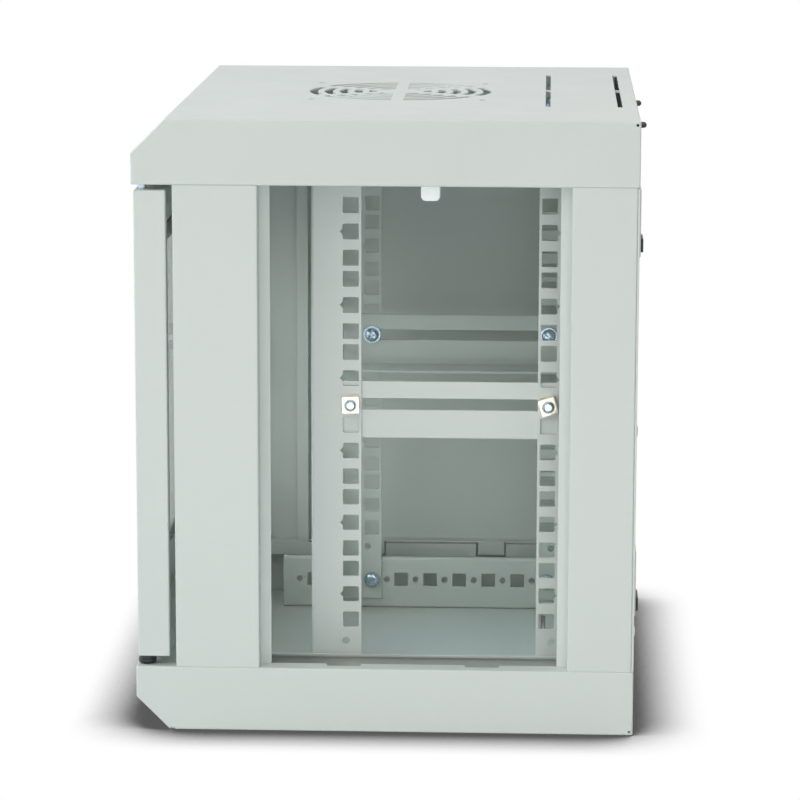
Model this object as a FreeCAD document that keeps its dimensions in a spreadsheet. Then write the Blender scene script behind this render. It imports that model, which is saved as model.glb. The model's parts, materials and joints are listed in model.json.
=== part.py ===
import FreeCAD, Part
import math
import os
import Sketcher

# Wall mount network cabinet, ten inch rack, six units, millimetres.
# +Z is up, the door faces -Y, the wall is at +Y. The origin is the centre of the footprint.

DRIVING = {
    # whole cabinet
    "width": 350.0,
    "body_depth": 297.0,
    "height": 367.0,
    "sheet": 1.2,
    "bend": 1.0,
    # trays: the shallow roof and floor pans
    "skirt": 38.6,
    "rim": 12.5,
    "rim_lip": 9.0,
    "corner_cut": 20.0,
    "relief": 3.0,
    "corner_hole": 1.6,
    # roof fan grille
    "ring_outer": 57.1,
    "ring_pitch": 9.3,
    "ring_slot": 5.2,
    "spoke": 7.6,
    "grille_shift": 1.8,
    "fan_pitch": 105.0,
    "fan_hole": 4.5,
    # cable knock-outs in roof and floor
    "knock_length": 102.0,
    "knock_bridge": 3.5,
    "knock_slot": 3.0,
    "knock_width": 43.4,
    "knock_rear": 10.6,
    "knock_shift": -11.7,
    # corner posts
    "post_inset": 0.5,
    "front_post": 50.0,
    "rear_post": 38.2,
    "post_flange": 16.0,
    "lip_step": 10.5,
    "lip": 6.4,
    "foot": 10.5,
    "post_screw": 5.0,
    "post_screw_head": 9.0,
    "post_nut": 8.0,
    # rear panel and its wall bosses
    "boss_proud": 1.2,
    "boss_width": 30.0,
    "boss_tall": 41.0,
    "boss_slope": 1.1,
    "boss_spread": 280.0,
    "boss_low": 67.5,
    "boss_drop": 82.5,
    "wall_hole": 8.5,
    "wall_hole_up": 25.5,
    "pad_proud": 1.6,
    "pad_wide": 22.0,
    "pad_tall": 8.0,
    "pad_up": 3.0,
    "rivet": 4.0,
    "rivet_head": 7.0,
    "rivet_proud": 0.8,
    "rivet_low": 62.0,
    "roof_stud": 3.0,
    "roof_stud_head": 3.6,
    "roof_stud_proud": 3.9,
    "roof_stud_drop": 4.8,
    "roof_stud_side": 30.0,
    "roof_stud_apart": 127.0,
    # side panel, its tabs and the white catch
    "panel_gap": 0.5,
    "tab_centre": 15.8,
    "tab_pitch": 82.8,
    "tab_wide": 18.4,
    "tab_play": 1.0,
    "tab_deep": 8.0,
    "tab_notch": 5.0,
    "catch_side": 8.6,
    "catch_wide": 11.3,
    "catch_thick": 6.4,
    "catch_hang": 9.0,
    "catch_round": 3.0,
    "catch_stem": 6.0,
    "catch_shift": 9.8,
    "catch_play": 0.8,
    # rack rails
    "rail_sheet": 1.5,
    "rack_inside": 254.0,
    "rack_clear": 222.8,
    "rack_unit": 44.45,
    "rack_step": 15.875,
    "rack_units": 6.0,
    "rack_shift": 1.0,
    "square_hole": 9.5,
    "hole_ease": 0.6,
    "face_hole_centres": 236.5,
    "hole_line": 6.4,
    "rail_deep": 30.3,
    "rail_end": 8.0,
    "notch_deep": 1.9,
    "notch_tall": 3.8,
    "front_column": -23.3,
    "holes_apart": 6.0,
    "pilot_hole": 4.3,
    "pilot_shift": 3.0,
    "pilot_height": 44.2,
    # bars that carry the rails
    "bar_tall": 35.3,
    "bar_flange": 12.0,
    "bar_lip": 4.0,
    "bar_front": 60.5,
    "bar_back": 42.0,
    "bar_pitch": 19.8,
    "bar_square": 9.2,
    "bar_round": 4.1,
    "bar_bolt_height": 21.0,
    # support runners
    "runner_flange": 30.0,
    "runner_below": 21.0,
    "runner_above": 13.8,
    "runner_over": 19.0,
    "runner_slant": 12.0,
    "runner_slot": 7.1,
    "runner_slot_over": 4.5,
    # rack fasteners
    "bolt": 6.0,
    "bolt_hole": 7.0,
    "bolt_head": 9.5,
    "bolt_head_tall": 4.2,
    "washer": 12.0,
    "washer_thick": 1.0,
    "pan_head": 11.0,
    "pan_head_tall": 3.6,
    "square_nut": 10.6,
    "nut_thick": 5.0,
    "bolt_end": 1.6,
    # door
    "door_setback": 1.2,
    "door_thick": 18.9,
    "door_gap": 3.9,
    "door_side_gap": 1.5,
    "door_top_gap": 3.3,
    "door_bottom_gap": 6.0,
    "stile": 47.0,
    "door_return": 8.0,
    "glass_thick": 4.0,
    "glass_lap": 6.0,
    "seal_thick": 1.0,
    "clip_wide": 16.0,
    "clip_bite": 5.0,
    "clip_foot": 8.0,
    # hinge pins
    "pivot_side": 8.5,
    "pivot_front": 5.9,
    "pin": 5.0,
    "pin_in_door": 16.0,
    "pin_in_tray": 4.0,
    "pin_head": 6.6,
    "pin_head_tall": 1.6,
    "bracket_from_edge": 12.0,
    "bracket_reach": 16.0,
    "bush": 10.8,
    "bush_round": 1.6,
    # cam lock
    "lock_side": 26.5,
    "lock_face": 24.0,
    "lock_body": 18.0,
    "lock_proud": 2.1,
    "barrel": 11.0,
    "key_slot": 1.6,
    "key_deep": 2.5,
    "lock_nut": 21.0,
    "lock_nut_thick": 4.0,
    "cam_behind": 3.0,
    "cam_thick": 2.0,
    "cam_wide": 13.0,
    "cam_reach": 22.0,
    "cam_screw": 4.0,
    "cam_screw_head": 8.0,
    # clearances
    "running": 0.05,
    "slack": 0.3,
    "screw_slack": 0.25,
}


class Term:
    """A size that carries its number and the spreadsheet expression that gives it."""

    def __init__(self, value, text):
        self.value = value
        self.text = text

    def join(self, other, sign, value):
        return Term(value, "(%s %s %s)" % (self.text, sign, other.text))

    def __add__(self, other):
        other = term(other)
        return self.join(other, "+", self.value + other.value)

    def __sub__(self, other):
        other = term(other)
        return self.join(other, "-", self.value - other.value)

    def __mul__(self, other):
        other = term(other)
        return self.join(other, "*", self.value * other.value)

    def __truediv__(self, other):
        other = term(other)
        return self.join(other, "/", self.value / other.value)

    def __radd__(self, other):
        return term(other) + self

    def __rmul__(self, other):
        return term(other) * self

    def __rsub__(self, other):
        return term(other) - self

    def __neg__(self):
        return Term(-self.value, "(0 - %s)" % self.text)


def term(thing):
    if isinstance(thing, Term):
        return thing
    return Term(float(thing), "(%r)" % float(thing))


class Sizes:
    """The driving sizes, read back from the spreadsheet by their aliases."""

    def __init__(self, sheet):
        for alias in DRIVING:
            setattr(self, alias, Term(float(sheet.get(alias)), "sizes." + alias))


doc = FreeCAD.newDocument("cabinet")
sheet = doc.addObject("Spreadsheet::Sheet", "sizes")
for row, (alias, number) in enumerate(DRIVING.items(), start=1):
    sheet.set("A%d" % row, alias)
    sheet.set("B%d" % row, repr(number))
    sheet.setAlias("B%d" % row, alias)
doc.recompute()
s = Sizes(sheet)
parts = []


# ---- making features ----

def new_body(name):
    body = doc.addObject("PartDesign::Body", name)
    body.Label = name
    body.AllowCompound = True
    parts.append(body)
    return body


def origin_plane(body, role):
    return [item for item in body.Origin.OriginFeatures if item.Role == role][0]


def bind(sketch, geometry, point, position):
    """Fix one point of the sketch at a position given by two sizes."""
    for kind, size in zip(("DistanceX", "DistanceY"), position):
        constraint = Sketcher.Constraint(kind, -1, 1, geometry, point, size.value)
        index = sketch.addConstraint(constraint)
        sketch.setExpression("Constraints[%d]" % index, size.text)


def draw_loop(sketch, points):
    points = [(term(across), term(up)) for across, up in points]
    places = [FreeCAD.Vector(across.value, up.value, 0) for across, up in points]
    first = sketch.GeometryCount
    for start, end in zip(places, places[1:] + places[:1]):
        sketch.addGeometry(Part.LineSegment(start, end), False)
    for index, position in enumerate(points):
        bind(sketch, first + index, 1, position)
        before = first + (index - 1) % len(points)
        sketch.addConstraint(Sketcher.Constraint("Coincident", before, 2, first + index, 1))


def draw_circle(sketch, centre, diameter):
    centre = [term(size) for size in centre]
    middle = FreeCAD.Vector(centre[0].value, centre[1].value, 0)
    circle = Part.Circle(middle, FreeCAD.Vector(0, 0, 1), diameter.value / 2)
    index = sketch.addGeometry(circle, False)
    bind(sketch, index, 3, centre)
    round_size = sketch.addConstraint(Sketcher.Constraint("Diameter", index, diameter.value))
    sketch.setExpression("Constraints[%d]" % round_size, diameter.text)


def new_sketch(body, name, plane, loops, place):
    """Loops are lists of points, or (centre, diameter) for circles, on a plane at a place."""
    sketch = body.newObject("Sketcher::SketchObject", name)
    sketch.AttachmentSupport = [(origin_plane(body, plane + "_Plane"), "")]
    sketch.MapMode = "FlatFace"
    sketch.setExpression("AttachmentOffset.Base.z", place.text)
    for loop in loops:
        if isinstance(loop, tuple):
            draw_circle(sketch, *loop)
        else:
            draw_loop(sketch, loop)
    return sketch


def extrude(body, kind, name, plane, loops, low, high):
    """Pad or pocket between two places along the plane's own axis: Z, -Y or X."""
    low, high = term(low), term(high)
    if low.value > high.value:
        low, high = high, low
    start = -high if plane == "XZ" else low
    sketch = new_sketch(body, body.Name + "_" + name + "_sketch", plane, loops, start)
    feature = body.newObject("PartDesign::" + kind, body.Name + "_" + name)
    feature.Profile = sketch
    feature.Type = 0
    feature.setExpression("Length", (high - low).text)
    feature.Reversed = kind == "Pocket"
    feature.Refine = True
    body.Tip = feature
    return feature


def add(body, name, plane, loops, low, high):
    feature = extrude(body, "Pad", name, plane, loops, low, high)
    doc.recompute()
    return feature


def cut(body, name, plane, loops, low, high):
    before = body.Shape.Volume
    feature = extrude(body, "Pocket", name, plane, loops, low, high)
    doc.recompute()
    if body.Shape.isNull() or body.Shape.Volume >= before - 1e-6:
        raise RuntimeError("%s removes nothing" % feature.Name)
    return feature


def round_edges(body, name, radius, wanted):
    """Round the edges of the body's last feature that the test wanted accepts."""
    base = body.Tip
    box = base.Shape.BoundBox
    names = []
    for index, edge in enumerate(base.Shape.Edges, start=1):
        middle = edge.valueAt((edge.FirstParameter + edge.LastParameter) / 2)
        if wanted(edge, middle, box):
            names.append("Edge%d" % index)
    fillet = body.newObject("PartDesign::Fillet", body.Name + "_" + name)
    fillet.Base = (base, names)
    fillet.setExpression("Radius", radius.text)
    body.Tip = fillet
    doc.recompute()
    return fillet


def repeat(body, name, feature, axis, length, count):
    """Repeat a pocket along one of the body's own axes."""
    pattern = body.newObject("PartDesign::LinearPattern", body.Name + "_" + name)
    pattern.Originals = [feature]
    direction = [item for item in body.Origin.OriginFeatures if item.Role == axis + "_Axis"][0]
    pattern.Direction = (direction, [""])
    pattern.setExpression("Length", length.text)
    pattern.setExpression("Occurrences", count.text)
    body.Tip = pattern
    doc.recompute()
    return pattern


def rectangle(left, right, low, high):
    return [(left, low), (right, low), (right, high), (left, high)]


def centred(middle, up, wide, tall):
    return rectangle(middle - wide / 2, middle + wide / 2, up - tall / 2, up + tall / 2)


def hexagon(middle, up, across_flats):
    corner = across_flats / 2 * (2 / math.sqrt(3))
    turns = [math.radians(60 * step) for step in range(6)]
    return [(middle + corner * math.cos(turn), up + corner * math.sin(turn)) for turn in turns]


def is_upright(edge):
    return edge.BoundBox.ZLength > 10 * max(edge.BoundBox.XLength, edge.BoundBox.YLength, 0.01)


# ---- places worked out from the sizes ----

half_width = s.width / 2
front = -(s.body_depth + s.roof_stud_proud + s.lock_proud) / 2 + s.lock_proud
back = front + s.body_depth
roof_rim = s.height - s.skirt
post_side = half_width - s.post_inset
door_front = front + s.door_setback
door_back = door_front + s.door_thick
post_front = door_back + s.door_gap
post_back = back - s.sheet
lip_side = post_side - s.lip_step
front_lip = post_front + s.front_post
rear_lip = post_back - s.rear_post

rail_inside = s.rack_inside / 2
rail_outside = rail_inside + s.rail_sheet
rear_column = s.front_column + s.bar_pitch * s.holes_apart
rack_low = s.height / 2 + s.rack_shift - s.rack_unit * s.rack_units / 2
first_hole = rack_low + (s.rack_unit - 2 * s.rack_step) / 2
runner_line = first_hole + 3 * s.rack_unit

door_low = s.skirt + s.door_bottom_gap
door_high = roof_rim - s.door_top_gap
door_side = half_width - s.door_side_gap
pivot = (door_side - s.pivot_side, front + s.pivot_front)
lock_place = (-(door_side - s.lock_side), (door_low + door_high) / 2)
cam_front = post_front + s.sheet + s.cam_behind
boss_high = s.height - s.boss_drop


def mirrored(flip, place):
    """The same height measured up from the floor, or down from the roof."""
    return s.height - place if flip else term(place)


# ---- trays ----

def tray_outline(flip, inset):
    """Side outline of a tray: a pan whose front lower corner is cut away at 45 degrees."""
    miter = inset * math.tan(math.radians(22.5))
    points = [
        (front + inset, s.skirt - inset),
        (front + inset, s.corner_cut + miter),
        (front + s.corner_cut + miter, inset),
        (back - inset, inset),
        (back - inset, s.skirt - inset),
    ]
    return [(along, mirrored(flip, up)) for along, up in points]


def knock_out_slots():
    """Slots round the cable cover, joined to the sheet by short bridges."""
    rear = back - s.knock_rear
    loops = []
    for line in (rear, rear - s.knock_width):
        for side in (-1, 1):
            centre = s.knock_shift + side * (s.knock_length + s.knock_bridge) / 2
            loops.append(centred(centre, line, s.knock_length, s.knock_slot))
    return loops


def make_tray(name, flip):
    body = new_body(name)
    add(body, "outside", "YZ", [tray_outline(flip, term(0))], -half_width, half_width)
    round_edges(body, "bends", s.bend, lambda edge, middle, box: True)
    inside = half_width - s.sheet
    cut(body, "inside", "YZ", [tray_outline(flip, s.sheet)], -inside, inside)
    mouth = rectangle(s.rim - half_width, half_width - s.rim, front + s.rim, back - s.rim)
    rim_low = mirrored(flip, s.skirt - 2 * s.sheet)
    rim_high = mirrored(flip, s.skirt + s.sheet)
    cut(body, "mouth", "XY", [mouth], rim_low, rim_high)
    lips = []
    for side in (-1, 1):
        edge = side * (half_width - s.rim)
        lips.append(rectangle(edge, edge + side * s.sheet, front + s.rim, back - s.rim))
    add(body, "rim_lips", "XY", lips, mirrored(flip, s.skirt - s.rim_lip), mirrored(flip, s.skirt))

    skin = (mirrored(flip, -s.sheet), mirrored(flip, 2 * s.sheet))
    cut(body, "cable_cover", "XY", knock_out_slots(), *skin)
    # small round reliefs where the side, rear and flat meet
    corner = (back - s.sheet - s.corner_hole / 2, mirrored(flip, s.sheet + s.corner_hole / 2))
    for side in (-1, 1):
        cut(body, "corner_hole_%s" % ("left" if side < 0 else "right"), "YZ", [(corner, s.corner_hole)],
            side * (inside - s.sheet), side * (half_width + s.sheet))

    holes = []
    screw_hole = s.post_screw + 2 * s.screw_slack
    for side in (-1, 1):
        for along in post_screw_lines():
            holes.append(((side * post_screw_side, along), screw_hole))
    holes.append((pivot, s.pin + 2 * s.running))
    cut(body, "rim_holes", "XY", holes, rim_low, rim_high)
    return body


def post_screw_lines():
    return (post_front + s.front_post / 2, post_back - s.rear_post / 2)


post_screw_side = post_side - s.sheet - (s.foot - s.sheet) / 2
tab_length = s.tab_wide + 2 * s.tab_play
tab_lines = (s.tab_centre - s.tab_pitch / 2, s.tab_centre + s.tab_pitch / 2)
catch_line = s.tab_centre + s.catch_shift
catch_side = half_width - s.catch_side


def make_bottom_tray():
    body = make_tray("bottom_tray", False)
    notches = []
    # relief where the corner cut's flanges meet the flat
    relief = []
    for side in (-1, 1):
        at_side = side * (half_width - s.sheet / 2)
        relief.append(centred(at_side, front + s.corner_cut + s.relief / 2, s.sheet * 2, s.relief))
        for along in tab_lines:
            near = side * (half_width - s.rim - s.sheet)
            far = side * (half_width - s.rim + s.tab_notch)
            notches.append(rectangle(near, far, along - tab_length / 2, along + tab_length / 2))
    cut(body, "tab_notches", "XY", notches, s.skirt - s.rim_lip - s.sheet, s.skirt + s.sheet)
    cut(body, "relief", "XY", relief, -s.sheet, s.relief / 2)


def make_top_tray():
    body = make_tray("top_tray", True)
    centre = (front + back) / 2 + s.grille_shift
    # ring slots turned about the grille's upright axis, then the spokes that carry the rings
    rings = []
    for ring in range(5):
        outer = s.ring_outer - ring * s.ring_pitch
        rings.append(rectangle(outer - s.ring_slot, outer, s.height - 2 * s.sheet, s.height + s.sheet))
    sketch = new_sketch(body, "grille_rings_sketch", "XZ", rings, -centre)
    groove = body.newObject("PartDesign::Groove", "grille_rings")
    groove.Profile = sketch
    groove.ReferenceAxis = (sketch, ["V_Axis"])
    groove.Angle = 360
    body.Tip = groove
    doc.recompute()
    reach = s.ring_outer + s.ring_slot / 2
    for number, turn in enumerate((90, 30, 150)):
        along = (math.cos(math.radians(turn)), math.sin(math.radians(turn)))
        corners = []
        for end, side in ((-1, -1), (1, -1), (1, 1), (-1, 1)):
            across = end * reach * along[1] - side * s.spoke / 2 * along[0]
            down = end * reach * along[0] + side * s.spoke / 2 * along[1]
            corners.append((across, centre + down))
        add(body, "spoke_%d" % number, "XY", [corners], s.height - s.sheet, s.height)
    holes = []
    for across in (-1, 1):
        for down in (-1, 1):
            place = (across * s.fan_pitch / 2, centre + down * s.fan_pitch / 2)
            holes.append((place, s.fan_hole))
    cut(body, "fan_holes", "XY", holes, s.height - 2 * s.sheet, s.height + s.sheet)
    stems = []
    for side in (-1, 1):
        play = 2 * s.screw_slack
        stems.append(centred(side * catch_side, catch_line, s.catch_stem - 2 + play, s.catch_stem + play))
    cut(body, "catch_holes", "XY", stems, roof_rim - s.sheet, roof_rim + 2 * s.sheet)
    studs = [((across, roof_stud_height), s.roof_stud + 2 * s.running) for across in roof_studs]
    cut(body, "stud_holes", "XZ", studs, back - 2 * s.sheet, back + s.sheet)


roof_stud_height = s.height - s.roof_stud_drop
roof_studs = (
    half_width - s.roof_stud_side,
    half_width - s.roof_stud_side - s.roof_stud_apart,
)


# ---- corner posts ----

def make_post(name, side, face, way, wide):
    """A folded post: flange, side face, step and lip, with a foot tab at each end."""
    body = new_body(name)
    inner = post_side - s.sheet
    step = face + way * wide
    profile = [
        (post_side - s.post_flange, face),
        (post_side, face),
        (post_side, step),
        (lip_side, step),
        (lip_side, step + way * s.lip),
        (lip_side - s.sheet, step + way * s.lip),
        (lip_side - s.sheet, step - way * s.sheet),
        (inner, step - way * s.sheet),
        (inner, face + way * s.sheet),
        (post_side - s.post_flange, face + way * s.sheet),
    ]
    profile = [(side * across, along) for across, along in profile]
    add(body, "fold", "XY", [profile], s.skirt, roof_rim)

    def outer_bend(edge, middle, box):
        return is_upright(edge) and abs(abs(middle.x) - post_side.value) < 0.01

    round_edges(body, "bends", s.bend, outer_bend)
    foot = rectangle(side * (post_side - s.foot), side * inner,
                     face + way * s.sheet, step - way * s.sheet)
    centre = face + way * wide / 2
    hole = ((side * post_screw_side, centre), s.post_screw + 2 * s.screw_slack)
    add(body, "foot", "XY", [foot, hole], s.skirt, s.skirt + s.sheet)
    add(body, "head", "XY", [foot, hole], roof_rim - s.sheet, roof_rim)
    return body


def make_posts():
    for side, word in ((1, "right"), (-1, "left")):
        make_post("front_post_" + word, side, post_front, 1, s.front_post)
        post = make_post("rear_post_" + word, side, post_back, -1, s.rear_post)
        holes = [((side * rivet_side, up), s.rivet + 2 * s.running) for up in rivet_heights]
        cut(post, "panel_holes", "XZ", holes, post_back - 2 * s.sheet, post_back + s.sheet)


rivet_side = post_side - s.post_flange / 2
rivet_heights = (s.rivet_low, s.height / 2, s.height - s.rivet_low)


def make_post_screws():
    screws = new_body("post_screws")
    nuts = new_body("post_nuts")
    places = [(side * post_screw_side, along) for side in (-1, 1) for along in post_screw_lines()]
    shanks = [(place, s.post_screw) for place in places]
    heads = [(place, s.post_screw_head) for place in places]
    under = s.skirt - s.sheet
    thick = s.post_screw / 2
    for word, flip in (("low", False), ("high", True)):
        add(screws, word + "_heads", "XY", heads, mirrored(flip, under - thick), mirrored(flip, under))
        top = s.skirt + s.sheet + s.post_screw
        add(screws, word + "_shanks", "XY", shanks, mirrored(flip, under), mirrored(flip, top))
        rings = [hexagon(place[0], place[1], s.post_nut) for place in places]
        bores = [(place, s.post_screw + 2 * s.running) for place in places]
        seat = s.skirt + s.sheet
        add(nuts, word, "XY", rings + bores, mirrored(flip, seat), mirrored(flip, seat + s.post_screw * 0.8))


# ---- rear panel and side panel ----

def make_rear_panel():
    body = new_body("rear_panel")
    low = s.skirt + s.slack
    high = roof_rim - s.slack
    add(body, "sheet", "XZ", [rectangle(-post_side, post_side, low, high)], back - s.sheet, back)
    bosses, hollows, holes = [], [], []
    for side in (-1, 1):
        for foot in (s.boss_low, boss_high):
            across = side * s.boss_spread / 2
            middle = foot + s.boss_tall / 2
            bosses.append(centred(across, middle, s.boss_width, s.boss_tall))
            inner_tall = s.boss_tall - 2 * s.sheet
            hollows.append(centred(across, middle, s.boss_width - 2 * s.sheet, inner_tall))
            holes.append(((across, foot + s.wall_hole_up), s.wall_hole))
    add(body, "bosses", "XZ", bosses, back - s.sheet, back + s.boss_proud)

    def boss_rim(edge, middle, box):
        return abs(middle.y - box.YMax) < 0.01

    base = body.Tip
    names = ["Edge%d" % index for index, edge in enumerate(base.Shape.Edges, start=1)
             if boss_rim(edge, edge.valueAt((edge.FirstParameter + edge.LastParameter) / 2),
                         base.Shape.BoundBox)]
    slope = body.newObject("PartDesign::Chamfer", "rear_panel_boss_slope")
    slope.Base = (base, names)
    slope.setExpression("Size", s.boss_slope.text)
    body.Tip = slope
    doc.recompute()
    cut(body, "boss_hollows", "XZ", hollows, back - 2 * s.sheet, back + s.boss_proud - s.sheet)
    cut(body, "wall_holes", "XZ", holes, back - 2 * s.sheet, back + 2 * s.boss_proud)
    rivets = [((side * rivet_side, up), s.rivet + 2 * s.running)
              for side in (-1, 1) for up in rivet_heights]
    cut(body, "rivet_holes", "XZ", rivets, back - 2 * s.sheet, back + s.sheet)

    pads = new_body("wall_pads")
    blocks = []
    for side in (-1, 1):
        for foot in (s.boss_low, boss_high):
            middle = foot + s.pad_up + s.pad_tall / 2
            blocks.append(centred(side * s.boss_spread / 2, middle, s.pad_wide, s.pad_tall))
    seat = back + s.boss_proud
    add(pads, "blocks", "XZ", blocks, seat, seat + s.pad_proud)


def make_rear_rivets():
    body = new_body("panel_rivets")
    places = [(side * rivet_side, up) for side in (-1, 1) for up in rivet_heights]
    add(body, "heads", "XZ", [(place, s.rivet_head) for place in places],
        back, back + s.rivet_proud)
    inside = post_back - s.sheet
    add(body, "shanks", "XZ", [(place, s.rivet) for place in places], inside, back)
    add(body, "set_ends", "XZ", [(place, s.rivet * 1.4) for place in places],
        inside - s.rivet / 2, inside)
    studs = new_body("roof_studs")
    places = [(across, roof_stud_height) for across in roof_studs]
    add(studs, "heads", "XZ", [(place, s.roof_stud_head) for place in places],
        back, back + s.roof_stud_proud)
    add(studs, "shanks", "XZ", [(place, s.roof_stud) for place in places],
        back - s.sheet - s.roof_stud, back)


def make_side_panel():
    body = new_body("side_panel_left")
    low = s.skirt + s.panel_gap
    high = roof_rim - s.panel_gap
    start = front_lip + s.panel_gap
    end = rear_lip - s.panel_gap
    deep = s.lip_step - s.slack
    outside = -post_side
    add(body, "outside", "YZ", [rectangle(start, end, low, high)], outside, outside + deep)

    def outer_edge(edge, middle, box):
        return abs(middle.x - box.XMin) < 0.01

    round_edges(body, "bends", s.bend, outer_edge)
    hollow = rectangle(start + s.sheet, end - s.sheet, low + s.sheet, high - s.sheet)
    cut(body, "inside", "YZ", [hollow], outside + s.sheet, outside + deep + s.sheet)
    clear = s.catch_wide / 2 + s.catch_play
    notch = rectangle(-(catch_side + s.catch_thick / 2 + s.catch_play), outside + deep + s.sheet,
                      catch_line - clear, catch_line + clear)
    cut(body, "catch_notch", "XY", [notch], high - 2 * s.sheet, high + s.sheet)
    tab_side = -(half_width - s.rim + s.tab_notch / 2)
    for number, along in enumerate(tab_lines):
        begin, finish = along - s.tab_wide / 2, along + s.tab_wide / 2
        shelf = rectangle(begin, finish, low, low + s.sheet)
        add(body, "shelf_%d" % number, "YZ", [shelf], outside + s.sheet / 2, tab_side + s.sheet)
        tongue = rectangle(begin, finish, s.skirt - s.tab_deep, low + s.sheet)
        add(body, "tongue_%d" % number, "YZ", [tongue], tab_side, tab_side + s.sheet)


def make_catch(name, side):
    body = new_body(name)
    low = roof_rim - s.catch_hang
    block = rectangle(catch_line - s.catch_wide / 2, catch_line + s.catch_wide / 2, low, roof_rim)
    near = side * (catch_side - s.catch_thick / 2)
    far = side * (catch_side + s.catch_thick / 2)
    add(body, "block", "YZ", [block], near, far)

    def lower_corner(edge, middle, box):
        runs_across = edge.BoundBox.XLength > 1
        return runs_across and abs(middle.z - box.ZMin) < 0.01

    round_edges(body, "corners", s.catch_round, lower_corner)
    stem = centred(side * catch_side, catch_line, s.catch_stem - 2, s.catch_stem)
    add(body, "stem", "XY", [stem], roof_rim, roof_rim + s.sheet)
    barb = centred(side * catch_side, catch_line, s.catch_stem - 2, s.catch_stem + 2)
    add(body, "barb", "XY", [barb], roof_rim + s.sheet, roof_rim + 2 * s.sheet)


# ---- rack rails, bars and runners ----

def rack_hole(centre, up, notch_way):
    """A square rack hole with eased corners; the middle hole of each unit has a pointed notch."""
    half = s.square_hole / 2
    flat = half - s.hole_ease
    way = notch_way or 1
    notch = [
        (centre + way * half, up - s.notch_tall / 2),
        (centre + way * (half + s.notch_deep), up),
        (centre + way * half, up + s.notch_tall / 2),
    ]
    return [
        (centre - way * flat, up - half), (centre + way * flat, up - half),
        (centre + way * half, up - flat), *(notch if notch_way else []),
        (centre + way * half, up + flat), (centre + way * flat, up + half),
        (centre - way * flat, up + half), (centre - way * half, up + flat),
        (centre - way * half, up - flat),
    ]


def make_rail(name, side, column, way):
    """An L section: the side flange with the depth holes, and the flange that gear bolts to."""
    body = new_body(name)
    face = column - way * (s.rail_deep - s.hole_line)
    end = column + way * s.hole_line
    inner_edge = s.rack_clear / 2
    profile = [
        (rail_outside, face), (rail_outside, end), (rail_inside, end),
        (rail_inside, face + way * s.rail_sheet), (inner_edge, face + way * s.rail_sheet),
        (inner_edge, face),
    ]
    profile = [(side * across, along) for across, along in profile]
    add(body, "fold", "XY", [profile], s.rail_end, s.height - s.rail_end)

    def outer_bend(edge, middle, box):
        at_side = abs(abs(middle.x) - rail_outside.value) < 0.01
        return is_upright(edge) and at_side and abs(middle.y - face.value) < 0.01

    round_edges(body, "bend", 2 * s.bend, outer_bend)
    sheet_in, sheet_out = rail_inside - s.rail_sheet, rail_outside + s.rail_sheet
    unit = []
    for step in range(3):
        notch = -way if step == 1 else 0
        unit.append(rack_hole(column, first_hole + step * s.rack_step, notch))
    holes = cut(body, "side_holes", "YZ", unit, side * sheet_in, side * sheet_out)
    span = (s.rack_units - 1) * s.rack_unit
    repeat(body, "side_hole_units", holes, "Z", span, s.rack_units)
    gear = side * s.face_hole_centres / 2
    unit = [rack_hole(gear, first_hole + step * s.rack_step, 0) for step in range(3)]
    deep = (face - way * s.rail_sheet, face + way * 2 * s.rail_sheet)
    holes = cut(body, "face_holes", "XZ", unit, *deep)
    repeat(body, "face_hole_units", holes, "Z", span, s.rack_units)
    rounds = [((column - way * s.pilot_shift, s.pilot_height), s.pilot_hole)]
    for flip in (False, True):
        rounds.append(((column, mirrored(flip, s.bar_bolt_height)), s.bolt_hole))
    cut(body, "bolt_holes", "YZ", rounds, side * sheet_in, side * sheet_out)


def make_bar(name, side, flip):
    """A channel welded to a tray, with a line of square and round holes for the rails."""
    body = new_body(name)
    start = s.front_column - s.bar_front
    end = rear_column + s.bar_back
    low, high = s.sheet, s.sheet + s.bar_tall
    outer = rail_outside + s.bar_flange
    lip = rail_outside + s.bar_lip
    web = rail_outside + s.rail_sheet
    profile = [
        (rail_outside, low), (outer, low), (outer, low + s.rail_sheet),
        (web, low + s.rail_sheet), (web, high - s.rail_sheet),
        (lip, high - s.rail_sheet), (lip, high), (rail_outside, high),
    ]
    profile = [(side * across, mirrored(flip, up)) for across, up in profile]
    add(body, "channel", "XZ", [profile], start, end)

    def web_bend(edge, middle, box):
        runs_along = edge.BoundBox.YLength > 10
        return runs_along and abs(abs(middle.x) - rail_outside.value) < 0.01

    round_edges(body, "bends", 2 * s.bend, web_bend)
    plug = rectangle(side * web, side * outer, mirrored(flip, low + s.rail_sheet),
                     mirrored(flip, high - s.rail_sheet))
    add(body, "end", "XZ", [plug], start, start + s.rail_sheet)
    count = 9
    first = s.front_column - 2 * s.bar_pitch
    up = mirrored(flip, s.bar_bolt_height)
    through = (side * (rail_outside - s.rail_sheet), side * (web + s.rail_sheet))
    squares = [centred(first + step * s.bar_pitch, up, s.bar_square, s.bar_square)
               for step in range(count)]
    rounds = [((first + (step - 0.5) * s.bar_pitch, up), s.bar_round) for step in range(count)]
    cut(body, "holes", "YZ", squares + rounds, *through)


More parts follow.
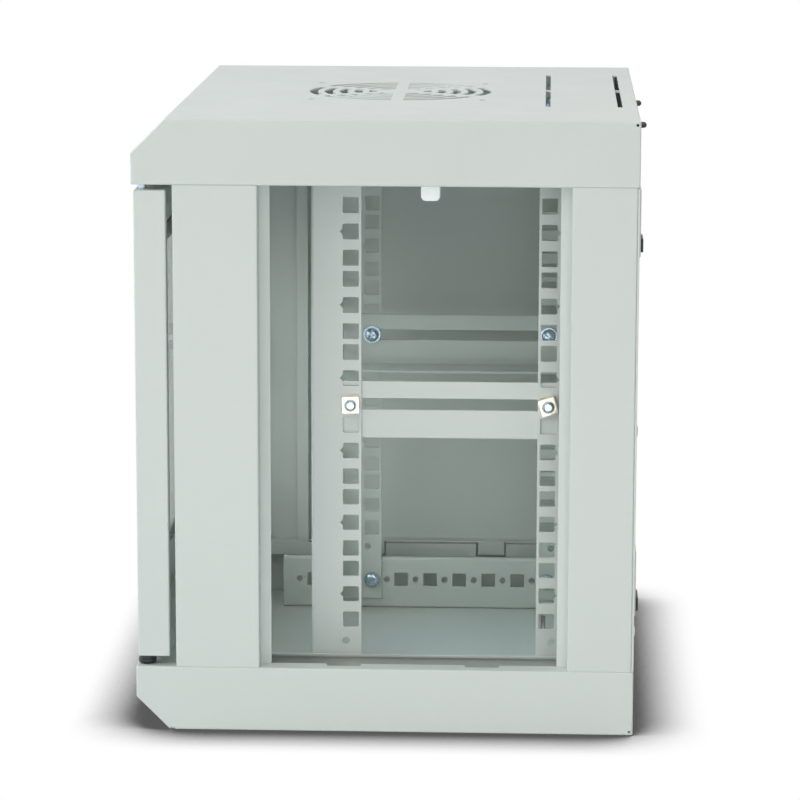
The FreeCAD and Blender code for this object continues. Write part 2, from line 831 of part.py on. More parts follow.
def make_runner(name, side):
    """An angle that gear rests on, with a long slot for its bolts."""
    body = new_body(name)
    low = runner_line - s.runner_below
    high = runner_line + s.runner_above
    start = s.front_column - s.runner_over
    end = rear_column + s.runner_over
    web = rail_inside - s.rail_sheet
    add(body, "web", "YZ", [rectangle(start, end, low, high)], side * web, side * rail_inside)
    edge = rail_inside - s.runner_flange
    flange = [(rail_inside, start), (edge, start + s.runner_slant),
              (edge, end - s.runner_slant), (rail_inside, end)]
    flange = [(side * across, along) for across, along in flange]
    add(body, "flange", "XY", [flange], low, low + s.rail_sheet)

    def lower_bend(edge, middle, box):
        runs_along = edge.BoundBox.YLength > 50
        at_side = abs(abs(middle.x) - rail_inside.value) < 0.01
        return runs_along and at_side and abs(middle.z - box.ZMin) < 0.01

    round_edges(body, "bend", s.bend, lower_bend)
    slot = rectangle(s.front_column - s.runner_slot_over, rear_column + s.runner_slot_over,
                     runner_line - s.runner_slot / 2, runner_line + s.runner_slot / 2)
    cut(body, "slot", "YZ", [slot], side * (web - s.sheet), side * (rail_inside + s.sheet))


def make_rack_steel():
    for side, word in ((1, "right"), (-1, "left")):
        make_rail("front_rail_" + word, side, s.front_column, 1)
        make_rail("rear_rail_" + word, side, rear_column, -1)
        make_bar("bottom_bar_" + word, side, False)
        make_bar("top_bar_" + word, side, True)
        make_runner("support_runner_" + word, side)


def make_rack_fasteners():
    runner_places = [(along, runner_line) for along in (s.front_column, rear_column)]
    bar_places = [(along, mirrored(flip, s.bar_bolt_height))
                  for along in (s.front_column, rear_column) for flip in (False, True)]
    bolts, washers = new_body("runner_bolts"), new_body("runner_washers")
    nuts, rail_bolts = new_body("runner_nuts"), new_body("rail_bolts")
    rail_nuts = new_body("rail_nuts")
    web = rail_inside - s.rail_sheet
    bore = s.bolt + 2 * s.running
    for side, word in ((1, "right"), (-1, "left")):
        seat = web - s.washer_thick
        shanks = [(place, s.bolt) for place in runner_places]
        heads = [(place, s.bolt_head) for place in runner_places]
        add(bolts, word + "_heads", "YZ", heads, side * (seat - s.bolt_head_tall), side * seat)
        tip = rail_outside + s.nut_thick + s.bolt_end
        add(bolts, word + "_shanks", "YZ", shanks, side * seat, side * tip)
        rings = [(place, s.washer) for place in runner_places]
        bores = [(place, bore) for place in runner_places]
        add(washers, word, "YZ", rings + bores, side * seat, side * web)
        blocks = [centred(place[0], place[1], s.square_nut, s.square_nut) for place in runner_places]
        add(nuts, word, "YZ", blocks + bores, side * rail_outside, side * (rail_outside + s.nut_thick))

        heads = [(place, s.pan_head) for place in bar_places]
        add(rail_bolts, word + "_heads", "YZ", heads,
            side * (rail_inside - s.pan_head_tall), side * rail_inside)
        nut_seat = rail_outside + s.rail_sheet
        shanks = [(place, s.bolt) for place in bar_places]
        add(rail_bolts, word + "_shanks", "YZ", shanks, side * rail_inside,
            side * (nut_seat + s.nut_thick + s.bolt_end))
        blocks = [centred(place[0], place[1], s.square_nut, s.square_nut) for place in bar_places]
        bores = [(place, bore) for place in bar_places]
        add(rail_nuts, word, "YZ", blocks + bores, side * nut_seat, side * (nut_seat + s.nut_thick))


# ---- door ----

def door_rectangle(inset):
    return rectangle(inset - door_side, door_side - inset, door_low + inset, door_high - inset)


def make_door():
    body = new_body("door_frame")
    add(body, "outside", "XZ", [door_rectangle(term(0))], door_front, door_back)
    round_edges(body, "bends", s.bend, lambda edge, middle, box: True)
    cut(body, "inside", "XZ", [door_rectangle(s.sheet)], door_front + s.sheet, door_back - s.sheet)
    back_cut = (door_back - 2 * s.sheet, door_back + s.sheet)
    cut(body, "back", "XZ", [door_rectangle(s.sheet + s.door_return)], *back_cut)
    window = (door_front - s.sheet, door_front + 2 * s.sheet)
    cut(body, "window", "XZ", [door_rectangle(s.stile)], *window)
    cut(body, "lock_hole", "XZ", [(lock_place, s.lock_body + 2 * s.screw_slack)], *window)
    pin_hole = (pivot, s.pin + 2 * s.running)
    cut(body, "pin_hole_low", "XY", [pin_hole], door_low - s.sheet, door_low + 2 * s.sheet)
    cut(body, "pin_hole_high", "XY", [pin_hole], door_high - 2 * s.sheet, door_high + s.sheet)

    brackets = new_body("hinge_brackets")
    plate = rectangle(door_side - s.sheet - s.bracket_reach, door_side - s.sheet,
                      door_front + s.sheet, door_back - s.sheet)
    low = door_low + s.bracket_from_edge
    high = door_high - s.bracket_from_edge
    add(brackets, "low", "XY", [plate, pin_hole], low, low + s.rail_sheet)
    add(brackets, "high", "XY", [plate, pin_hole], high - s.rail_sheet, high)


def make_glazing():
    glass_edge = s.stile - s.glass_lap
    seal_back = door_front + s.sheet + s.seal_thick
    glass_back = seal_back + s.glass_thick
    seal = new_body("glass_seal")
    add(seal, "ring", "XZ", [door_rectangle(glass_edge), door_rectangle(s.stile)],
        door_front + s.sheet, seal_back)
    glass = new_body("door_glass")
    add(glass, "pane", "XZ", [door_rectangle(glass_edge)], seal_back, glass_back)
    clips = new_body("glass_clips")
    side_line = door_side - glass_edge
    bite = side_line - s.clip_bite
    heel = side_line + s.slack
    blocks, fingers = [], []
    quarter = (door_high - door_low) / 4
    for side in (-1, 1):
        for up in (door_low + quarter, door_high - quarter):
            ends = (up - s.clip_wide / 2, up + s.clip_wide / 2)
            blocks.append(rectangle(side * heel, side * (heel + s.clip_foot), *ends))
            fingers.append(rectangle(side * bite, side * (heel + s.clip_foot), *ends))
    for line, way in ((door_low + glass_edge, -1), (door_high - glass_edge, 1)):
        for across in (-door_side / 2, door_side / 2):
            ends = (across - s.clip_wide / 2, across + s.clip_wide / 2)
            heel_line = line + way * s.slack
            foot_line = heel_line + way * s.clip_foot
            blocks.append(rectangle(*ends, heel_line, foot_line))
            fingers.append(rectangle(*ends, line - way * s.clip_bite, foot_line))
    add(clips, "blocks", "XZ", blocks, door_front + s.sheet, glass_back)
    add(clips, "fingers", "XZ", fingers, glass_back, glass_back + s.sheet)


def make_hinges():
    bottom = new_body("hinge_pin_bottom")
    add(bottom, "shank", "XY", [(pivot, s.pin)], s.skirt - s.pin_in_tray, door_low + s.pin_in_door)
    add(bottom, "head", "XY", [(pivot, s.pin_head)], s.skirt - s.sheet - s.pin_head_tall,
        s.skirt - s.sheet)
    top = new_body("hinge_pin_top")
    add(top, "shank", "XY", [(pivot, s.pin)], door_high - s.pin_in_door, roof_rim + s.pin_in_tray)
    under = door_high - s.bracket_from_edge - s.rail_sheet
    add(top, "head", "XY", [(pivot, s.pin_head)], under - s.pin_head_tall, under)
    bush = new_body("hinge_bush")
    high = door_low - s.slack
    add(bush, "ring", "XY", [(pivot, s.bush), (pivot, s.pin + 2 * s.running)], s.skirt, high)

    def lower_edge(edge, middle, box):
        return abs(middle.z - box.ZMin) < 0.01 and edge.BoundBox.XLength > 8

    round_edges(bush, "corner", s.bush_round, lower_edge)


def make_lock():
    face = front - s.lock_proud
    house_back = cam_front - s.slack
    housing = new_body("lock_housing")
    bore = (lock_place, s.barrel + 2 * s.running)
    add(housing, "face", "XZ", [(lock_place, s.lock_face), bore], face, door_front)

    def face_rim(edge, middle, box):
        return abs(middle.y - box.YMin) < 0.01 and edge.BoundBox.XLength > 20

    round_edges(housing, "rim", s.bend, face_rim)
    add(housing, "body", "XZ", [(lock_place, s.lock_body), bore], door_front, house_back)
    nut = new_body("lock_nut")
    seat = door_front + s.sheet
    ring = hexagon(lock_place[0], lock_place[1], s.lock_nut)
    hole = (lock_place, s.lock_body + 2 * s.running)
    add(nut, "ring", "XZ", [ring, hole], seat, seat + s.lock_nut_thick)

    barrel = new_body("lock_barrel")
    add(barrel, "plug", "XZ", [(lock_place, s.barrel)], face, cam_front)
    key = centred(lock_place[0], lock_place[1], s.key_slot, s.barrel * 0.66)
    cut(barrel, "key_slot", "XZ", [key], face - s.sheet, face + s.key_deep)
    across, up = lock_place
    half = s.cam_wide / 2
    corner = half * 0.35
    outline = [
        (across - half, up + half * 0.6), (across - half * 0.6, up + half),
        (across + half * 0.6, up + half), (across + half, up + half * 0.6),
        (across + half, up - s.cam_reach + corner), (across + half - corner, up - s.cam_reach),
        (across - half + corner, up - s.cam_reach), (across - half, up - s.cam_reach + corner),
    ]
    cam = new_body("lock_cam")
    cam_back = cam_front + s.cam_thick
    hole = (lock_place, s.cam_screw + 2 * s.screw_slack)
    add(cam, "plate", "XZ", [outline, hole], cam_front, cam_back)
    screw = new_body("cam_screw")
    add(screw, "head", "XZ", [(lock_place, s.cam_screw_head)], cam_back, cam_back + s.cam_screw / 2)
    add(screw, "shank", "XZ", [(lock_place, s.cam_screw)], cam_front, cam_back)


make_bottom_tray()
make_top_tray()
make_posts()
make_post_screws()
make_rear_panel()
make_rear_rivets()
make_side_panel()
make_catch("panel_catch_right", 1)
make_catch("panel_catch_left", -1)
make_rack_steel()
make_rack_fasteners()
make_door()
make_glazing()
make_hinges()
make_lock()
doc.recompute()

# ---- check everything, then write ----

for item in doc.Objects:
    if "Invalid" in item.State or "Error" in item.State:
        raise RuntimeError("%s failed: %s" % (item.Name, item.State))
for part in parts:
    if part.Shape.isNull() or not part.Shape.isValid() or not part.Shape.Solids:
        raise RuntimeError("%s has no valid solid" % part.Label)

os.makedirs("parts", exist_ok=True)
for part in parts:
    part.Shape.exportStep("parts/%s.step" % part.Label)
    print(part.Label, len(part.Shape.Solids), round(part.Shape.Volume, 1))
print("sub-parts:", len(parts))
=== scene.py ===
import json
import math
import bmesh
import bpy
from mathutils import Matrix, Vector


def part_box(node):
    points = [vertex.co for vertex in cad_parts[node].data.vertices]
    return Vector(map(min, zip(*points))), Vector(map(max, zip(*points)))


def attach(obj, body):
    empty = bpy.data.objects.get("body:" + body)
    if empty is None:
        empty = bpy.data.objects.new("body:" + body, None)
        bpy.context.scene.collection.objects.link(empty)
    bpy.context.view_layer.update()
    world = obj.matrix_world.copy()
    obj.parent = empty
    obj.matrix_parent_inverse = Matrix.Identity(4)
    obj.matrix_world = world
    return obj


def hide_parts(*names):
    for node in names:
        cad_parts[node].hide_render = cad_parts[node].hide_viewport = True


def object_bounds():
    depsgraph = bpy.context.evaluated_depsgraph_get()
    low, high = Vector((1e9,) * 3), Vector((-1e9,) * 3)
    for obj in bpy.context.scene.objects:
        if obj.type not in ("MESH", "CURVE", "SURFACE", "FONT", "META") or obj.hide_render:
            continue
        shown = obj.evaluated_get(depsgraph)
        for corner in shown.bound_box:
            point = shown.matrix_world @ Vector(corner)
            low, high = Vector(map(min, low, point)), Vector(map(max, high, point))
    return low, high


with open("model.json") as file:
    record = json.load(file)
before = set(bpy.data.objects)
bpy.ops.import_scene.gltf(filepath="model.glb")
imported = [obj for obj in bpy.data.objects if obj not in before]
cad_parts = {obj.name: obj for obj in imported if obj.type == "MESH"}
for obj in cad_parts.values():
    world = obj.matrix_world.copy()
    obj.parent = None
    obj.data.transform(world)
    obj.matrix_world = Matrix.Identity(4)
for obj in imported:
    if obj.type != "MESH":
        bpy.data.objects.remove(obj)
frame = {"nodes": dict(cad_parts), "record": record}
nodes = frame["nodes"]
cadLow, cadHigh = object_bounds()
print("frame loaded:", len(nodes), "nodes")


def addNode(tree, kind, **values):
    # values go to the node's own settings, or else to the input socket of that name
    node = tree.nodes.new("ShaderNode" + kind)
    for name, value in values.items():
        if hasattr(node, name):
            setattr(node, name, value)
        else:
            node.inputs[name.replace("_", " ")].default_value = value
    return node


def join(tree, output, target):
    tree.links.new(output, target)


def maths(tree, operation, first, second):
    node = addNode(tree, "Math", operation=operation)
    for socket, value in zip(node.inputs, (first, second)):
        if isinstance(value, (int, float)):
            socket.default_value = value
        else:
            join(tree, value, socket)
    return node.outputs[0]


def spread(tree, value, low, high, start=0.0, end=1.0):
    # start to end comes out as low to high
    node = addNode(tree, "MapRange", From_Min=start, From_Max=end, To_Min=low, To_Max=high)
    join(tree, value, node.inputs["Value"])
    return node.outputs["Result"]


def blendColours(tree, factor, first, second):
    node = addNode(tree, "Mix", data_type="RGBA")
    for socket, value in ((node.inputs[0], factor), (node.inputs[6], first), (node.inputs[7], second)):
        if isinstance(value, (int, float, tuple)):
            socket.default_value = value
        else:
            join(tree, value, socket)
    return node.outputs[2]


def noise(tree, place, scale, detail=2.0, roughness=0.5):
    # the scale may be a number or an output of another node
    node = addNode(tree, "TexNoise")
    if isinstance(scale, (int, float)):
        node.inputs["Scale"].default_value = scale
    else:
        join(tree, scale, node.inputs["Scale"])
    node.inputs["Detail"].default_value = detail
    node.inputs["Roughness"].default_value = roughness
    join(tree, place, node.inputs["Vector"])
    return node.outputs["Fac"]


def newGroup(name, inputs, outputs):
    tree = bpy.data.node_groups.new(name, "ShaderNodeTree")
    for label, kind, default in inputs:
        socket = tree.interface.new_socket(label, in_out="INPUT", socket_type="NodeSocket" + kind)
        socket.default_value = default
    for label, kind in outputs:
        tree.interface.new_socket(label, in_out="OUTPUT", socket_type="NodeSocket" + kind)
    return tree, tree.nodes.new("NodeGroupInput").outputs, tree.nodes.new("NodeGroupOutput").inputs


def objectPlace(tree):
    return tree.nodes.new("ShaderNodeTexCoord").outputs["Object"]


# a noise is given by its scale, detail and roughness, without the scale where the material sets it
wearValues = {"bevelSamples": 6, "bend": (0.75, 0.995), "blotchDetail": 3.0, "patches": (0.35, 0.65)}


def edgeWearGroup():
    # mask of the rubbed edges: where the rounded normal leaves the flat one
    values = wearValues
    tree, given, result = newGroup(
        "edge wear",
        [("Radius", "Float", 0.0006), ("Patchiness", "Float", 60.0)],
        [("Mask", "Float"), ("Normal", "Vector")])
    rounded = addNode(tree, "Bevel", samples=values["bevelSamples"])
    join(tree, given["Radius"], rounded.inputs["Radius"])
    flat = tree.nodes.new("ShaderNodeNewGeometry").outputs["Normal"]
    turned = addNode(tree, "VectorMath", operation="DOT_PRODUCT")
    join(tree, rounded.outputs[0], turned.inputs[0])
    join(tree, flat, turned.inputs[1])
    bend = spread(tree, turned.outputs["Value"], 1.0, 0.0, *values["bend"])
    blotches = noise(tree, objectPlace(tree), given["Patchiness"], values["blotchDetail"])
    patches = spread(tree, blotches, 0.0, 1.0, *values["patches"])
    join(tree, maths(tree, "MULTIPLY", bend, patches), result["Mask"])
    join(tree, rounded.outputs[0], result["Normal"])
    return tree


peelValues = {
    "dimples": (2.0, 0.45),
    "fineRatio": 3.1,
    "fineShare": 0.35,
    "cloud": (7.0, 3.0, 0.55),
    "handling": (26.0, 4.0, 0.6),
    "contrast": (0.3, 0.7),
    "sheenSwing": 0.07,
}


def orangePeelGroup():
    # powder coat skin: fine dimples and a slow change of tone and sheen
    values = peelValues
    tree, given, result = newGroup(
        "orange peel",
        [("Colour", "Color", (0.6, 0.6, 0.6, 1)), ("Deep Colour", "Color", (0.5, 0.5, 0.5, 1)),
         ("Dimple Scale", "Float", 700.0), ("Roughness", "Float", 0.45)],
        [("Colour", "Color"), ("Roughness", "Float"), ("Height", "Float")])
    place = objectPlace(tree)
    dimples = noise(tree, place, given["Dimple Scale"], *values["dimples"])
    fine = noise(tree, place, maths(tree, "MULTIPLY", given["Dimple Scale"], values["fineRatio"]), 1.0)
    cloud = noise(tree, place, *values["cloud"])
    handling = noise(tree, place, *values["handling"])
    tone = spread(tree, cloud, 0.0, 1.0, *values["contrast"])
    join(tree, blendColours(tree, tone, given["Colour"], given["Deep Colour"]), result["Colour"])
    sheen = spread(tree, handling, -values["sheenSwing"], values["sheenSwing"], *values["contrast"])
    join(tree, maths(tree, "ADD", given["Roughness"], sheen), result["Roughness"])
    height = maths(tree, "ADD", dimples, maths(tree, "MULTIPLY", fine, values["fineShare"]))
    join(tree, height, result["Height"])
    return tree


platedValues = {
    "patches": (3.0, 0.6),
    "contrast": (0.35, 0.68),
    "crystalRatio": 2.5,
    "scratchRatio": 8.0,
    "scratchShare": 0.4,
    "smoothest": -0.06,
    "roughest": 0.14,
}


def platedGroup():
    # zinc, nickel or chrome plate: crystal patches, fine scratches and a tint that wanders
    values = platedValues
    tree, given, result = newGroup(
        "plated steel",
        [("Colour", "Color", (0.6, 0.6, 0.6, 1)), ("Tint", "Color", (0.5, 0.55, 0.65, 1)),
         ("Roughness", "Float", 0.3), ("Patch Scale", "Float", 400.0)],
        [("Colour", "Color"), ("Roughness", "Float"), ("Height", "Float")])
    place = objectPlace(tree)
    patches = noise(tree, place, given["Patch Scale"], *values["patches"])
    crystals = addNode(tree, "TexVoronoi")
    join(tree, place, crystals.inputs["Vector"])
    crystalScale = maths(tree, "MULTIPLY", given["Patch Scale"], values["crystalRatio"])
    join(tree, crystalScale, crystals.inputs["Scale"])
    factor = spread(tree, patches, 0.0, 1.0, *values["contrast"])
    join(tree, blendColours(tree, factor, given["Colour"], given["Tint"]), result["Colour"])
    sheen = spread(tree, crystals.outputs["Distance"], values["smoothest"], values["roughest"])
    join(tree, maths(tree, "ADD", given["Roughness"], sheen), result["Roughness"])
    scratches = noise(tree, place, maths(tree, "MULTIPLY", given["Patch Scale"], values["scratchRatio"]), 1.0)
    height = maths(tree, "ADD", patches, maths(tree, "MULTIPLY", scratches, values["scratchShare"]))
    join(tree, height, result["Height"])
    return tree


mouldedValues = {
    "grain": (2.0, 0.6),
    "marks": (140.0, 3.0),
    "mostWorn": 0.8,
    "wornContrast": (0.4, 0.75),
    "sheenContrast": (0.3, 0.7),
    "sheenSwing": 0.08,
}


def mouldedGroup():
    # moulded plastic or rubber: spark-eroded grain with soft handling marks
    values = mouldedValues
    tree, given, result = newGroup(
        "moulded grain",
        [("Colour", "Color", (0.6, 0.6, 0.6, 1)), ("Worn Colour", "Color", (0.6, 0.6, 0.6, 1)),
         ("Roughness", "Float", 0.5), ("Grain Scale", "Float", 1800.0)],
        [("Colour", "Color"), ("Roughness", "Float"), ("Height", "Float")])
    place = objectPlace(tree)
    grain = noise(tree, place, given["Grain Scale"], *values["grain"])
    marks = noise(tree, place, *values["marks"])
    factor = spread(tree, marks, 0.0, values["mostWorn"], *values["wornContrast"])
    join(tree, blendColours(tree, factor, given["Colour"], given["Worn Colour"]), result["Colour"])
    sheen = spread(tree, marks, -values["sheenSwing"], values["sheenSwing"], *values["sheenContrast"])
    join(tree, maths(tree, "ADD", given["Roughness"], sheen), result["Roughness"])
    join(tree, grain, result["Height"])
    return tree


def newMaterial(name, group, values, shader, bump, edge=None):
    # a Principled material: the group makes colour, roughness and height, the shader values are fixed
    material = bpy.data.materials.new(name)
    material.use_nodes = True
    tree = material.node_tree
    principled = tree.nodes["Principled BSDF"]
    for label, value in shader.items():
        principled.inputs[label].default_value = value
    skin = addNode(tree, "Group", node_tree=group)
    for label, value in values.items():
        skin.inputs[label].default_value = value
    colour = skin.outputs["Colour"]
    relief = addNode(tree, "Bump", Strength=bump["strength"], Distance=bump["distance"])
    join(tree, skin.outputs["Height"], relief.inputs["Height"])
    if edge:
        wear = addNode(tree, "Group", node_tree=edge["group"])
        wear.inputs["Radius"].default_value = edge["radius"]
        wear.inputs["Patchiness"].default_value = edge["patchiness"]
        factor = maths(tree, "MULTIPLY", wear.outputs["Mask"], edge["amount"])
        colour = blendColours(tree, factor, colour, edge["colour"])
        join(tree, wear.outputs["Normal"], relief.inputs["Normal"])
    join(tree, colour, principled.inputs["Base Color"])
    join(tree, skin.outputs["Roughness"], principled.inputs["Roughness"])
    join(tree, relief.outputs["Normal"], principled.inputs["Normal"])
    return material


edgeWear = edgeWearGroup()
orangePeel = orangePeelGroup()
plated = platedGroup()
moulded = mouldedGroup()

paint = {
    "colour": (0.628, 0.660, 0.624, 1),
    "deepColour": (0.613, 0.648, 0.614, 1),
    "dimpleScale": 650.0,
    "roughness": 0.50,
    "specular": 0.36,
    "dimpleStrength": 0.35,
    "dimpleDepth": 0.00005,
    "edgeRadius": 0.0005,
    "edgePatches": 45.0,
    "edgeColour": (0.74, 0.76, 0.74, 1),
    "edgeAmount": 0.35,
}
powderCoat = newMaterial(
    "powderCoat", orangePeel,
    {"Colour": paint["colour"], "Deep Colour": paint["deepColour"],
     "Dimple Scale": paint["dimpleScale"], "Roughness": paint["roughness"]},
    {"Specular IOR Level": paint["specular"]},
    {"strength": paint["dimpleStrength"], "distance": paint["dimpleDepth"]},
    {"group": edgeWear, "radius": paint["edgeRadius"], "patchiness": paint["edgePatches"],
     "amount": paint["edgeAmount"], "colour": paint["edgeColour"]})

metalEdge = {
    "group": edgeWear,
    "radius": 0.00018,
    "patchiness": 300.0,
    "amount": 0.3,
    "colour": (0.82, 0.84, 0.86, 1),
}
platedRelief = {"strength": 0.12, "distance": 0.00002}


def newPlate(name, plate):
    return newMaterial(
        name, plated,
        {"Colour": plate["bright"], "Tint": plate["tint"],
         "Roughness": plate["roughness"], "Patch Scale": plate["patchScale"]},
        {"Metallic": 1.0}, platedRelief, metalEdge)


zincPlate = newPlate("zincPlate", {
    "bright": (0.60, 0.70, 0.78, 1),
    "tint": (0.42, 0.53, 0.62, 1),
    "roughness": 0.22,
    "patchScale": 900.0,
})
nickelPlate = newPlate("nickelPlate", {
    "bright": (0.95, 0.88, 0.76, 1),
    "tint": (0.86, 0.76, 0.62, 1),
    "roughness": 0.34,
    "patchScale": 700.0,
})
chromedLock = newPlate("chromedLock", {
    "bright": (0.78, 0.78, 0.79, 1),
    "tint": (0.66, 0.67, 0.69, 1),
    "roughness": 0.12,
    "patchScale": 400.0,
})


def newMoulding(name, moulding, shader):
    return newMaterial(
        name, moulded,
        {"Colour": moulding["colour"], "Worn Colour": moulding["worn"], "Roughness": moulding["roughness"]},
        shader, {"strength": moulding["grain"], "distance": moulding["grainDepth"]})


blackPlastic = newMoulding("blackPlastic", {
    "colour": (0.018, 0.018, 0.019, 1),
    "worn": (0.035, 0.035, 0.036, 1),
    "roughness": 0.46,
    "grain": 0.4,
    "grainDepth": 0.00004,
}, {})
whiteNylon = newMoulding("whiteNylon", {
    "colour": (0.93, 0.94, 0.93, 1),
    "worn": (0.85, 0.87, 0.86, 1),
    "roughness": 0.36,
    "grain": 0.3,
    "grainDepth": 0.00003,
}, {"Subsurface Weight": 0.25, "Subsurface Scale": 0.002})
sealRubber = newMoulding("sealRubber", {
    "colour": (0.02, 0.02, 0.02, 1),
    "worn": (0.045, 0.045, 0.044, 1),
    "roughness": 0.72,
    "grain": 0.5,
    "grainDepth": 0.00005,
}, {})

glassValues = {
    "colour": (0.93, 0.97, 0.95, 1),
    "letsThrough": (0.90, 0.94, 0.92, 1),
    "ior": 1.52,
    "cleanest": 0.01,
    "dustiest": 0.05,
    "dust": (35.0, 4.0, 0.6),
    "dustContrast": (0.35, 0.75),
}


def glassMaterial():
    # clear float glass: faint green, with a thin uneven film of dust
    values = glassValues
    material = bpy.data.materials.new("temperedGlass")
    material.use_nodes = True
    tree = material.node_tree
    principled = tree.nodes["Principled BSDF"]
    principled.inputs["Base Color"].default_value = values["colour"]
    principled.inputs["Transmission Weight"].default_value = 1.0
    principled.inputs["IOR"].default_value = values["ior"]
    dust = noise(tree, objectPlace(tree), *values["dust"])
    haze = spread(tree, dust, values["cleanest"], values["dustiest"], *values["dustContrast"])
    join(tree, haze, principled.inputs["Roughness"])
    # lamps shine through the pane
    clear = addNode(tree, "BsdfTransparent", Color=values["letsThrough"])
    choose = tree.nodes.new("ShaderNodeMixShader")
    join(tree, tree.nodes.new("ShaderNodeLightPath").outputs["Is Shadow Ray"], choose.inputs[0])
    join(tree, principled.outputs[0], choose.inputs[1])
    join(tree, clear.outputs[0], choose.inputs[2])
    join(tree, choose.outputs[0], tree.nodes["Material Output"].inputs["Surface"])
    return material


finishes = {
    "powder_coat": powderCoat,
    "zinc_steel": zincPlate,
    "nickel_steel": nickelPlate,
    "chromed_zinc": chromedLock,
    "black_plastic": blackPlastic,
    "white_nylon": whiteNylon,
    "seal_rubber": sealRubber,
    "tempered_glass": glassMaterial(),
}
for entry in frame["record"]["subparts"]:
    mesh = nodes[entry["node"]].data
    for index in range(len(mesh.materials)):
        mesh.materials[index] = finishes[entry["material_slot"]]
print("finishes assigned")

meshValues = {"weld": 1e-6, "spinWeld": 1e-7, "sharpFrom": 40.0, "shadeSharpFrom": 32.0}


def islandBoxes(nodeName):
    # low and high corner of each separate solid in a CAD node
    bm = bmesh.new()
    bm.from_mesh(nodes[nodeName].data)
    bmesh.ops.remove_doubles(bm, verts=bm.verts, dist=meshValues["weld"])
    left = set(bm.verts)
    boxes = []
    while left:
        reached = [left.pop()]
        for vert in reached:
            for edge in vert.link_edges:
                other = edge.other_vert(vert)
                if other in left:
                    left.remove(other)
                    reached.append(other)
        low = Vector([min(vert.co[axis] for vert in reached) for axis in range(3)])
        high = Vector([max(vert.co[axis] for vert in reached) for axis in range(3)])
        boxes.append((low, high))
    bm.free()
    return sorted(boxes, key=lambda box: [round(value, 4) for value in box[0]])


def lathe(profile, closed=False, steps=32):
    # (radius, height) points spun about Z
    bm = bmesh.new()
    verts = [bm.verts.new((radius, 0, height)) for radius, height in profile]
    ends = verts[1:] + verts[:1] if closed else verts[1:]
    edges = [bm.edges.new(pair) for pair in zip(verts, ends)]
    bmesh.ops.spin(bm, geom=verts + edges, cent=(0, 0, 0), axis=(0, 0, 1), dvec=(0, 0, 0),
                   angle=2 * math.pi, steps=steps, use_merge=True)
    bmesh.ops.remove_doubles(bm, verts=bm.verts, dist=meshValues["spinWeld"])
    bmesh.ops.recalc_face_normals(bm, faces=bm.faces)
    return bm


def block(low, high):
    bm = bmesh.new()
    bmesh.ops.create_cube(bm, size=1)
    low, high = Vector(low), Vector(high)
    bmesh.ops.scale(bm, verts=bm.verts, vec=high - low)
    bmesh.ops.translate(bm, verts=bm.verts, vec=(low + high) / 2)
    return bm


def roundEdges(bm, wanted, radius, segments=3):
    # bevel the edges whose two ends pass the test
    edges = [edge for edge in bm.edges if wanted(edge.verts[0].co, edge.verts[1].co)]
    bmesh.ops.bevel(bm, geom=edges, offset=radius, offset_type="OFFSET", segments=segments,
                    profile=0.5, affect="EDGES", clamp_overlap=True, material=-1)


def isSharp(edge):
    return len(edge.link_faces) == 2 and edge.calc_face_angle() > math.radians(meshValues["sharpFrom"])


def roundSharp(bm, radius, segments=2):
    bmesh.ops.bevel(bm, geom=[edge for edge in bm.edges if isSharp(edge)], offset=radius,
                    offset_type="OFFSET", segments=segments, profile=0.5, affect="EDGES",
                    clamp_overlap=True, material=-1)


def gather(solids):
    # one bmesh from several
    whole = bmesh.new()
    for solid in solids:
        mesh = bpy.data.meshes.new("solid")
        solid.to_mesh(mesh)
        solid.free()
        whole.from_mesh(mesh)
        bpy.data.meshes.remove(mesh)
    return whole


def carve(bm, cutter):
    # the solid less the cutter
    objects = []
    for name, solid in (("blank", bm), ("cutter", cutter)):
        mesh = bpy.data.meshes.new(name)
        solid.to_mesh(mesh)
        solid.free()
        objects.append(bpy.data.objects.new(name, mesh))
        bpy.context.scene.collection.objects.link(objects[-1])
    modifier = objects[0].modifiers.new("carve", "BOOLEAN")
    modifier.operation = "DIFFERENCE"
    modifier.solver = "EXACT"
    modifier.use_self = True
    modifier.object = objects[1]
    shaped = objects[0].evaluated_get(bpy.context.evaluated_depsgraph_get())
    carved = bmesh.new()
    carved.from_mesh(shaped.to_mesh())
    for thing in objects:
        mesh = thing.data
        bpy.data.objects.remove(thing)
        bpy.data.meshes.remove(mesh)
    return carved


def standAt(bm, place, facing, turn=0.0):
    # a copy with its own +Z turned to face a direction
    copy = bm.copy()
    face = Vector((0, 0, 1)).rotation_difference(Vector(facing)).to_matrix().to_4x4()
    matrix = Matrix.Translation(place) @ face @ Matrix.Rotation(math.radians(turn), 4, "Z")
    bmesh.ops.transform(copy, matrix=matrix, verts=copy.verts)
    return copy


def addPiece(name, solids, body, slotName, *replaced):
    # one object from the solids, in place of the CAD nodes named last
    bm = gather(solids)
    mesh = bpy.data.meshes.new(name)
    bm.to_mesh(mesh)
    bm.free()
    mesh.shade_smooth()
    mesh.set_sharp_from_angle(angle=math.radians(meshValues["shadeSharpFrom"]))
    mesh.materials.append(finishes[slotName])
    piece = bpy.data.objects.new(name, mesh)
    bpy.context.scene.collection.objects.link(piece)
    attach(piece, body)
    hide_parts(*replaced)


def quarterRound(radius, height, startRadius, startHeight, count=6):
    # points that curve out and down from the crown to the side, as on a pan head
    points = []
    for step in range(count + 1):
        turn = math.radians(90 * step / count)
        points.append((startRadius + (radius - startRadius) * math.sin(turn),
                       startHeight + (height - startHeight) * math.cos(turn)))
    return points


threadSizes = {
    "radius": 0.0030,
    "depth": 0.00032,
    "pitch": 0.0010,
    "tipChamfer": 0.0008,
    "tipProud": 0.00015,
}
headShape = {
    "crown": 0.42,
    "shoulder": 0.22,
    "ease": 0.00025,
    "recessFoot": (0.62, 0.8, 1),
    "cutAbove": 0.001,
}


